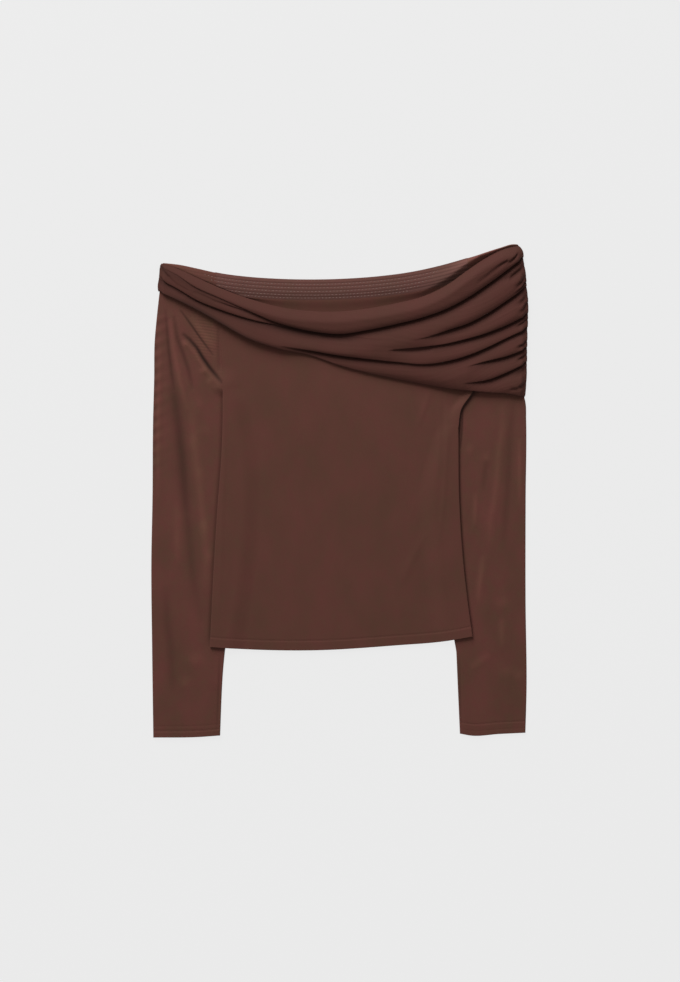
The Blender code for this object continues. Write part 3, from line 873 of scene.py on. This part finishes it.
RIGHT_FOLDS = (
    (((218, 119), (217, 95), (214, 70), (212, 26), (210, -5), (207, -49), (205, -71)), -0.45, 5.0),
    (((204, 109), (204, 76), (200, 51), (197, 14), (194, -11), (189, -36), (188, -70)), 0.5, 4.5),
    (((170.4, -3.6), (169, -45)), 0.5, 3.0),
    (((225.4, 66), (225.4, -17)), 0.5, 3.0),
    (((180.4, -80), (175.4, -117), (174, -139)), 0.6, 4.0),
    (((203, -159), (204, -196)), 0.5, 4.0),
    (((188, -204), (163, -222)), 0.5, 4.0),
    (((184, 39), (180, -1)), -0.4, 4.0),
    (((149.5, -206), (150.5, -250), (152, -298)), -0.5, 1.3),
)
# Small patches where the cloth stands off: centre x and y, radii, height
LEFT_PATCHES = (
    (-180, -211, 10, 7, 0.5), (-192, -240, 7, 6, 0.4), (-170, 150, 5, 4, 0.6),
    (-162, 137, 4, 5, 0.6), (-193, 183, 4, 4, 0.6), (-168, -46, 6, 9, 0.5),
    (-175, 108, 6, 8, 0.3), (-163, -82, 6, 9, 0.3), (-184, 60, 7, 9, 0.3),
    (-170, 74, 8, 6, 0.25), (-176, 20, 7, 8, 0.25),
)
RIGHT_PATCHES = (
    (183, 41, 5, 5, 0.4), (163, 51, 5, 6, 0.4), (204, -140, 8, 6, 0.4),
    (209, -226, 9, 6, 0.4), (224, -231, 6, 6, 0.4),
)
# Sharp pressed creases of the left shoulder, and one beside the right armhole: a polyline, its depth,
# half its width and how much painted shade darkens it
CREASES = (
    (((-198.4, 225.2), (-190.9, 215.2), (-182.1, 202.7), (-173.4, 190.2), (-165.9, 180.2),
      (-158.4, 170.2)), 0.6, 1.2, 0.65),
    (((-194.6, 195.2), (-187.1, 188.9), (-178.4, 178.9), (-170.9, 166.4), (-162.1, 153.9),
      (-155.9, 146.4), (-147.1, 135.8)), 1.0, 2.2, 0.85),
    (((153.8, 100), (153.4, 86), (152.6, 70), (151.2, 54)), 0.5, 0.9, 0.6),
)
# Fine puckers along the left sleeve's outer fold: height, spacing, reach, and between which y
PUCKERS = (0.35 * MM, 15.0 * MM, 8.0 * MM, 20.0 * MM, 225.0 * MM)
# Fine ridges over the shoulder, where two layers of mesh cross: centre, radii, spacing and contrast
MOIRE = (-167.0 * MM, 193.0 * MM, 16.0 * MM, 25.0 * MM, 3.7 * MM, 0.17)
# The hollow beside the body's edge, where a sleeve goes under it and painted shade falls: depth and
# reach
HOLLOW = 0.6 * MM
HOLLOW_REACH = 2.6 * MM
# Painted shadow beside the right armhole, cast by the raised front edge onto the sleeve: how dark it
# is, its reach, and how much more it reaches near the drape
ARMHOLE_SHADOW = 0.66
ARMHOLE_SHADOW_REACH = 2.4 * MM
ARMHOLE_SHADOW_MORE = 3.4 * MM
# Painted light on a sleeve's raised folds and painted shade in its hollows, by height; and how much of
# the band's colour and painted light and shade a sleeve takes near the neck
SHADE_PER_HEIGHT = 0.36 / MM
NECK_TONE = 0.84
BAND_BLEND = 4.0 * MM
# Above this level a sleeve's rows lie closer together, for its creases
SHOULDER = 60.0 * MM
CREASE_CLEAR = 10.0 * MM
SLEEVE_FADE = 13.0 * MM
SLEEVE_SLOPE = 18.0 * MM
ARMHOLE_STEP = 2.2 * MM
left_outer = through(LEFT_OUTER)
right_outer = through(RIGHT_OUTER)


def sleeve_folds(x, y):
    """Soft folds and patches of both sleeves, flat again before the drape."""
    height = soft_folds(x, y, LEFT_FOLDS + RIGHT_FOLDS) + swells(x, y, LEFT_PATCHES + RIGHT_PATCHES)
    rise, spacing, reach, lowest, highest = PUCKERS
    away = x - left_outer(y)
    beside = np.exp(-np.abs(away) / reach) * ease((y - lowest) / reach) * ease((highest - y) / reach)
    height = height + rise * np.sin(2 * math.pi * (y - 0.5 * away) / spacing) * beside
    for edge, underarm in ((body_left, LEFT_UNDERARM), (body_right, RIGHT_UNDERARM)):
        under = ease((underarm - y) / SLEEVE_FADE) * ease((y - hem(x)) / SLEEVE_FADE)
        height = height - HOLLOW * under * np.exp(-((x - edge(y)) / HOLLOW_REACH) ** 2)
    return height * ease((drape_lower(x) - y) / CREASE_CLEAR)


def creased(x, y):
    """The depth of the pressed creases and the painted shade in them."""
    depth = np.zeros_like(x)
    crease_shade = np.zeros_like(x)
    for line, deep, half_width, shade_share in CREASES:
        away, passed = near_line(x, y, line)
        share = np.sin(math.pi * np.clip(0.06 + 0.9 * passed, 0, 1)) ** 0.5
        share = share * np.exp(-(away / (half_width * MM)) ** 2)
        depth = np.maximum(depth, deep * MM * share)
        crease_shade = np.maximum(crease_shade, shade_share * share)
    return depth, crease_shade


def sleeve_relief(x, y):
    depth, crease_shade = creased(x, y)
    return sleeve_folds(x, y) - depth


def sleeve_shade_and_moire(x, y):
    """Painted light on raised folds; painted shade in hollows, creases and beside the right armhole."""
    depth, crease_shade = creased(x, y)
    # Painted shadow of the raised armhole edge on the sleeve beside it
    armhole_shadow = ease((y - RIGHT_UNDERARM + ARMHOLE_FADE) / ARMHOLE_FADE)
    armhole_shadow = armhole_shadow * ease((drape_lower(x) + ARMHOLE_UNDER - y) / ARMHOLE_UNDER)
    reach = ARMHOLE_SHADOW_REACH + ARMHOLE_SHADOW_MORE * ease((y - RIGHT_UNDERARM) / ARMHOLE_FADE - 0.3)
    armhole_shadow = armhole_shadow * np.exp(-((x - body_right(y) - 1.0 * MM) / reach) ** 2)
    tone_and_shade = (1 + SHADE_PER_HEIGHT * sleeve_folds(x, y)) * (1 - ARMHOLE_SHADOW * armhole_shadow)
    x0, y0, radius_x, radius_y, spacing, contrast = MOIRE
    crossed = np.exp(-((x - x0) / radius_x) ** 4 - ((y - y0) / radius_y) ** 4)
    ridges = np.sin(2 * math.pi * (y + 0.15 * x + 3 * (x - x0) ** 2) / spacing)
    tone_and_shade = tone_and_shade * (1 + contrast * crossed * (0.8 + ridges))
    return tone_and_shade * (1 - crease_shade)


def sleeve_lift(x, y, inner, underarm, side):
    """The sleeve follows the raised body edge at the armhole, and is flat again under the body."""
    away = (x - inner(y)) * side
    above = ease((underarm + ARMHOLE_FADE - y) / ARMHOLE_FADE)
    below = ease((y - underarm + SLEEVE_FADE) / SLEEVE_FADE)
    lift = LIFT * above * below
    if side > 0:
        return (lift + armhole_height(x, y)) * ease(1 - away / ARMHOLE_STEP)
    return lift * ease(1 - away / SLEEVE_SLOPE)


def sleeve_rows(low, high):
    """Rows of a sleeve: close over the cuff and again where the creases are."""
    steps = np.array(EDGE_STEPS)[:, None] * MM
    start = low + steps[-1]
    plain = start + np.linspace(0, 1, 86)[1:, None] * (SHOULDER - start)
    close = SHOULDER + np.linspace(0, 1, 176)[1:, None] * (high - SHOULDER)
    return np.concatenate([low + steps, plain, close])


def sleeve_columns():
    """Columns of a sleeve, from the underarm over the front, the outer fold and the back."""
    front = [(share, 0, 0, 0) for share in np.linspace(0, 1, 84)]
    fold = [(1, math.pi * turn, 0, 0) for turn in np.linspace(0, 1, 10)[1:-1]]
    back = [(share, math.pi, 0, 0) for share in np.linspace(1, 0, 40)]
    return (
        [(0, 0, w, 0) for w in CURL_STEPS] + front + fold + back
        + [(0, math.pi, w, 0) for w in CURL_STEPS[::-1]]
    )


def sleeve_loops(tree):
    return use_group(tree, mesh_net, Pitch=0.9 * MM)["Height"]


def closed_everywhere(y):
    return np.ones_like(y)


sleeve_mesh = cloth_material(
    "sleeve_mesh", SLEEVE_BROWN, contrast=0.13, flecks=0.25, loops=sleeve_loops, depth=0.05 * MM,
    roughness=0.75, sheen=0.05, with_tone_and_shade=True)
sleeves = (
    ("sleeve_left", LEFT_CUFF, LEFT_CUFF_SEWN, left_inner, left_outer, LEFT_UNDERARM, -1),
    ("sleeve_right", RIGHT_CUFF, RIGHT_CUFF_SEWN, right_inner, right_outer, RIGHT_UNDERARM, 1),
)
for name, cuff_table, sewn, inner_edge, outer_edge, underarm, side in sleeves:
    cuff = through(cuff_table)
    walls = laid_wall(
        sleeve_columns(), sleeve_rows, level_edge(cuff), neckline, (inner_edge, outer_edge),
        (open_above(underarm), closed_everywhere),
        lambda x, y: sleeve_lift(x, y, inner_edge, underarm, side), relief=sleeve_relief,
        under=neck_rise, thicker=turned_up(*sewn))
    x, y = walls[0][..., 0], walls[0][..., 1]
    # Near the band the sleeve takes the band's colour and painted light and shade
    by_band = ease((y - band_seam(x)) / BAND_BLEND)
    tone_and_shade = sleeve_shade_and_moire(x, y) * (1 - by_band) + NECK_TONE * band_colour_and_shade(x, y) * by_band
    sleeve = cloth_piece(name + "_mesh", *walls, sleeve_mesh, tone_and_shade)
    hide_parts(name)
    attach(sleeve, "root")
    inner_end = inner_edge(CUFF_LEVEL) + CUFF_INNER_CLEAR * side
    outer_end = outer_edge(CUFF_LEVEL) - CUFF_OUTER_CLEAR * side
    ends = sorted((inner_end, outer_end))
    x = np.linspace(*ends, 60)
    z = np.full_like(x, 2 * FOLD_OUTER) + turned_up(*sewn)(sewn[0]) + HEM_STITCH_RAISE
    line = np.stack([x, cuff(x) + sewn[0], z], axis=-1)
    cuff_stitches = stitches(name + "_cuff_stitches", [line], hem_thread, **HEM_STITCH)


# Drape
# One long piece of jersey, gathered tightly into the left outer edge and widely into the right one.
# Its folds run from side to side over the front, each a low roll that leans over the one below.
# Each row is a section: where the edges and the six valleys between the rolls cross it
DRAPE_COLUMNS = ("x", "upper", "main", "second", "third", "fourth", "fifth", "sixth", "lower")
DRAPE_SECTIONS = (
    (-227, 285.0, 279.0, 263.0, 258.5, 255.3, 253.7, 252.1, 250.4),
    (-205, 278.0, 270.0, 253.5, 248.0, 245.7, 244.4, 243.0, 241.5),
    (-180, 267.0, 255.5, 239.0, 234.9, 233.4, 232.0, 230.7, 229.3),
    (-150, 254.0, 242.7, 227.0, 221.0, 217.6, 216.3, 215.0, 213.5),
    (-115, 241.0, 227.0, 215.5, 205.2, 198.8, 197.4, 196.0, 194.5),
    (-75, 230.0, 209.3, 204.8, 193.5, 184.2, 183.0, 181.6, 180.2),
    (-35, 224.8, 199.3, 196.5, 185.0, 175.3, 173.0, 171.2, 169.3),
    (0, 224.3, 196.0, 193.3, 181.5, 169.3, 163.6, 160.0, 157.4),
    (35, 228.0, 201.5, 191.5, 180.0, 165.7, 156.7, 151.2, 148.0),
    (70, 234.5, 209.0, 192.0, 179.6, 162.7, 151.1, 143.8, 140.3),
    (105, 243.5, 218.0, 194.5, 181.4, 160.0, 149.8, 138.3, 133.5),
    (135, 258.0, 229.0, 202.0, 185.0, 163.3, 151.8, 135.7, 128.7),
    (160, 275.5, 242.3, 210.0, 190.8, 169.8, 157.6, 137.0, 126.2),
    (185, 291.5, 258.5, 223.0, 198.4, 179.8, 163.0, 139.6, 124.0),
    (208, 302.5, 274.0, 238.0, 207.6, 190.7, 168.5, 147.9, 122.5),
    (234, 306.5, 291.0, 255.0, 221.0, 203.0, 178.3, 160.0, 117.5),
)
# How deep each valley is cut, as a share of the fold's height
VALLEY_DEPTHS = {
    "main": ((-227, 0.4), (-180, 0.3), (-120, 0.35), (-85, 0.7), (-62, 1.0), (234, 1.0)),
    "second": (
        (-227, 0.5), (-180, 0.65), (-110, 0.7), (-67, 0.8), (0, 0.4), (60, 0.0), (105, 0.15),
        (140, 0.9), (234, 0.9),
    ),
    "third": ((-227, 0.0), (60, 0.0), (72, 0.25), (95, 0.6), (125, 0.7), (150, 0.9), (234, 0.9)),
    "fourth": (
        (-227, 0.0), (-75, 0.0), (-35, 0.8), (22, 0.9), (50, 0.7), (113, 0.6), (140, 0.9), (234, 0.9),
    ),
    "fifth": ((-227, 0.0), (158, 0.0), (190, 0.85), (234, 0.85)),
    "sixth": ((-227, 0.0), (154, 0.0), (184, 0.8), (234, 0.85)),
}
FOLD_HEIGHT = ((-227, 4.0), (-180, 6.2), (-110, 7.2), (0, 7.8), (100, 8.4), (180, 8.0), (234, 6.8))
# The lower edge stands off the right sleeve
EDGE_LIFT = ((-227, 0), (60, 0), (110, 0.4), (150, 1.8), (175, 2.0), (196, 1.2), (222, 0.9), (234, 0.7))
EDGE_LIFT_REACH = 25.0 * MM
# The lower edge: the share of the height that is a steep lip, and the reach of the gentle rest
LOWER_LIP = (
    (-227, 1.0), (-110, 0.85), (-70, 0.65), (-30, 0.45), (15, 0.3), (60, 0.22), (120, 0.22),
    (165, 0.35), (234, 0.35),
)
LOWER_REACH = ((-227, 6), (-110, 8), (-65, 12), (-25, 18), (20, 24), (234, 24))
# Painted shadow along the lower edge, which stands over the cloth below: how dark it is, and how far up
LOWER_EDGE_SHADOW = ((-227, 0.5), (-205, 1.1), (-110, 1.1), (-60, 1.0), (150, 1.0), (200, 0.7), (234, 0.6))
LOWER_EDGE_SHADOW_REACH = ((-227, 4.0), (-110, 4.4), (-70, 3.0), (-20, 2.2), (20, 1.8), (234, 1.8))
# The folds lean down over the valleys, so each valley starts a little above where it shows
VALLEY_SHIFT = 2.4
DRAPE_LEFT = ((248, -226.8), (256, -227.6), (264, -226.6), (272, -225.4), (280, -225.0), (287, -222.8))
DRAPE_RIGHT = (
    (117, 232.0), (139, 233.5), (189, 234.7), (241, 235.5), (256, 234.0), (271, 232.7),
    (286, 230.3), (301, 228.2), (309, 223.0),
)
# Small gathers between the valleys: a polyline and its depth at both ends
GATHERS = (
    (((196.6, 265.2), (214.1, 270.8), (232.9, 283.3)), 0.0, 0.75),
    (((214.1, 257.7), (224.1, 263.9), (234.1, 270.8)), 0.0, 0.75),
    (((216.6, 250.8), (225.4, 256.4), (235.4, 263.9)), 0.0, 0.75),
    (((214.1, 235.2), (224.1, 240.2), (235.4, 247.7)), 0.0, 0.75),
    (((217.9, 227.1), (226.6, 231.4), (235.4, 238.3)), 0.0, 0.75),
    (((215.4, 206.4), (225.4, 211.4), (235.4, 216.4)), 0.0, 0.75),
    (((216.6, 195.8), (225.4, 198.9), (235.4, 202.9)), 0.0, 0.75),
    (((216.6, 182.7), (225.4, 185.8), (235.4, 188.9)), 0.0, 0.75),
    (((217.9, 165.8), (226.6, 168.9), (235.4, 172.1)), 0.0, 0.75),
    (((214.1, 147.1), (224.1, 150.8), (234.1, 155.2)), 0.0, 0.75),
    (((206.6, 128.9), (219.1, 132.7), (232.9, 136.4)), 0.0, 0.45),
    (((172.9, 268.3), (190.4, 280.2), (210.4, 292.7)), 0.1, 0.3),
    (((206.6, 286.4), (216.6, 292.7), (226.6, 300.2)), 0.0, 0.4),
    (((69.1, 182.1), (87.9, 179.6), (112.9, 181.4)), 0.15, 0.35),
    (((-20, 195.5), (-3.4, 193.9), (16.6, 191.4), (45, 192.5)), 0.8, 0.0),
    (((-220.9, 286.4), (-210.9, 283.9), (-199.6, 278.9), (-185.9, 268.9)), 0.4, 0.0),
    (((-224.6, 280.2), (-215.9, 271.4), (-204.6, 262.7), (-189.6, 255.2)), 0.5, 0.1),
    (((-224.6, 267.7), (-212.1, 257.7), (-197.1, 247.7)), 0.5, 0.2),
    (((-179.6, 252.7), (-155.9, 242.1), (-124.6, 230.8), (-97.1, 220.8)), 0.1, 0.25),
)
GATHER_UPPER = 1.4 * MM
GATHER_LOWER = 4.5 * MM
VALLEY_UPPER = 2.2 * MM
VALLEY_SLOPE = 12.0 * MM
VALLEY_LIP = 0.6
VALLEY_LOWER = 22.0 * MM
VALLEY_ROUND = 0.35 * MM
UPPER_EDGE_ROUNDING = 7.0 * MM
# Painted shade in the valleys: how dark, and how far it reaches above and below a valley's line
VALLEY_SHADE = 0.6
VALLEY_SHADE_ABOVE = 1.2 * MM
VALLEY_SHADE_BELOW = 5.0 * MM
FOLD_LEAN = 0.95
DRAPE_FLOOR = 2.7 * MM
END_RADIUS = 2.0 * MM
END_ROUNDING = 5.0 * MM
END_HEIGHT = 0.4
END_PINCH = 0.9 * MM
END_TURNS = (90, 75, 60, 45, 30, 15)
END_WARP_POWER = 8
ROLL_STEPS = (
    0, 0.015, 0.035, 0.065, 0.105, 0.155, 0.215, 0.285, 0.36, 0.44, 0.52, 0.60, 0.68, 0.75, 0.81,
    0.86, 0.90, 0.93, 0.955, 0.975, 0.99,
)
# The same jersey as the body, painted darker to stand in for the shade among the folds
DRAPE_SHADED_BROWN = (0.0604, 0.0204, 0.0152)
# Faint streaks in the cloth: how their noise is stretched, its scale, and their depth over the loops
STREAK_STRETCH = (0.05, 1.0, 1.0)
STREAK_SCALE = 230.0
STREAK_DEPTH = 11.0
drape_lines = {}
for name, *crossings in zip(DRAPE_COLUMNS[1:], *(row[1:] for row in DRAPE_SECTIONS)):
    shift = VALLEY_SHIFT if name in VALLEY_DEPTHS else 0
    drape_lines[name] = through([(row[0], y + shift) for row, y in zip(DRAPE_SECTIONS, crossings)])


def valley_share(above, depth, upper_reach, lower_reach, slope_reach=VALLEY_SLOPE, lip=1.0):
    """What one valley leaves of a fold's height: steep above its line, long below it.

    lip is the share of the fall above the line that is steep. The rest begins slope_reach away.
    """
    away = np.sqrt(above ** 2 + VALLEY_ROUND ** 2) - VALLEY_ROUND
    steep = np.clip(1 - away / np.where(above > 0, upper_reach, lower_reach), 0, 1) ** 2
    gentle = np.clip(1 - away / np.where(above > 0, slope_reach, lower_reach), 0, 1) ** 2
    return 1 - np.clip(depth, 0, 1) * (lip * steep + (1 - lip) * gentle)


def gathered(x, y, line, start, end):
    """The distance above a gather's line, and its depth, which is full two thirds of the way along."""
    above, passed = near_line(x, y, line)
    return above, start + (end - start) * ease(1.5 * passed)


def fold_height(x, y):
    """Height of the drape's folds over the flat cloth, from the valleys and edges that cut it."""
    height = through(FOLD_HEIGHT)(x)
    height = height * valley_share(
        y - drape_lines["upper"](x), 1.0, UPPER_EDGE_ROUNDING, UPPER_EDGE_ROUNDING)
    height = height * valley_share(
        y - drape_lines["lower"](x), 1.0, VALLEY_UPPER, VALLEY_LOWER, through(LOWER_REACH)(x),
        through(LOWER_LIP, 1.0)(x))
    for name, depths in VALLEY_DEPTHS.items():
        above = y - drape_lines[name](x)
        height = height * valley_share(
            above, through(depths, 1.0)(x), VALLEY_UPPER, VALLEY_LOWER, lip=VALLEY_LIP)
    for line, start, end in GATHERS:
        above, depth = gathered(x, y, line, start, end)
        height = height * valley_share(above, depth, GATHER_UPPER, GATHER_LOWER)
    return height


def drape_shade(x, y):
    """Painted shade in the valleys, along the gathers and at the lower edge, where little light
    reaches.
    """
    tone_and_shade = np.ones_like(x)
    for name, depths in VALLEY_DEPTHS.items():
        above = y - drape_lines[name](x)
        near = np.exp(-(above / np.where(above > 0, VALLEY_SHADE_ABOVE, VALLEY_SHADE_BELOW)) ** 2)
        tone_and_shade = tone_and_shade * (1 - VALLEY_SHADE * np.clip(through(depths, 1.0)(x), 0, 1) * near)
    above = y - drape_lines["lower"](x)
    near = np.exp(-(above / through(LOWER_EDGE_SHADOW_REACH)(x)) ** 2)
    tone_and_shade = tone_and_shade * (1 - VALLEY_SHADE * through(LOWER_EDGE_SHADOW, 1.0)(x) * near)
    for line, start, end in GATHERS:
        above, depth = gathered(x, y, line, start, end)
        near = np.exp(-(above / (0.5 * VALLEY_SHADE_BELOW)) ** 2)
        tone_and_shade = tone_and_shade * (1 - 0.5 * VALLEY_SHADE * depth * near)
    return tone_and_shade


end_outer = END_RADIUS + CLOTH
left_end = DRAPE_SECTIONS[0][0] * MM
right_end = DRAPE_SECTIONS[-1][0] * MM
first = left_end + end_outer
last = right_end - end_outer
turns = np.radians(END_TURNS)
flat = np.linspace(first, last, 300)
x = np.concatenate([np.full(len(turns), first), flat, np.full(len(turns), last)])
tilt = np.concatenate([-turns, np.zeros(len(flat)), turns[::-1]])
lines = [drape_lines[name](x) for name in DRAPE_COLUMNS[1:]]
y = np.array(
    [high + part * (low - high) for high, low in zip(lines, lines[1:]) for part in ROLL_STEPS]
    + [lines[-1]])
x = np.broadcast_to(x, y.shape)
ends = ease((x - first) / END_ROUNDING) * ease((last - x) / END_ROUNDING)
folds = fold_height(x, y)
edge_lift = through(EDGE_LIFT)(x) * ease(1 - (y - lines[-1]) / EDGE_LIFT_REACH)
rise = (folds * (END_HEIGHT + (1 - END_HEIGHT) * ends) + edge_lift) * np.cos(tilt)
slope = np.gradient(rise, axis=0) / np.gradient(y, axis=0)
upper_z = DRAPE_FLOOR + CLOTH + rise
lower_z = np.maximum(DRAPE_FLOOR, upper_z - CLOTH * np.sqrt(1 + slope ** 2))
along = (x - left_end) / (right_end - left_end)
pinched = END_PINCH * (1 - folds / through(FOLD_HEIGHT)(x)) ** 2
warp = (through(DRAPE_RIGHT)(y) - right_end - pinched) * along ** END_WARP_POWER
warp = warp + (through(DRAPE_LEFT)(y) - left_end + pinched) * (1 - along) ** END_WARP_POWER
drape_faces = []
for radius, level in ((end_outer, upper_z), (END_RADIUS, lower_z)):
    z = level - radius * (1 - np.cos(tilt))
    lean = FOLD_LEAN * np.maximum(z - DRAPE_FLOOR - CLOTH - edge_lift, 0)
    drape_faces.append(np.stack([x + warp + radius * np.sin(tilt), y - lean, z], axis=-1))


def drape_loops(tree):
    """Jersey loops, and long fine streaks where the gathers pull the cloth."""
    cloth = tree.nodes.new("ShaderNodeUVMap").outputs["UV"]
    streaks = noise(tree, STREAK_SCALE, 1.5, STREAK_STRETCH, cloth)
    return calculate(tree, "MULTIPLY_ADD", streaks, STREAK_DEPTH, body_loops(tree))


drape_jersey = cloth_material(
    "drape_jersey", DRAPE_SHADED_BROWN, contrast=0.05, flecks=0.12, loops=drape_loops, depth=0.03 * MM,
    roughness=0.78, sheen=0.05, with_tone_and_shade=True)
drape = cloth_piece("drape_jersey", *drape_faces, drape_jersey, drape_shade(x, y))
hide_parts("drape")
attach(drape, "root")
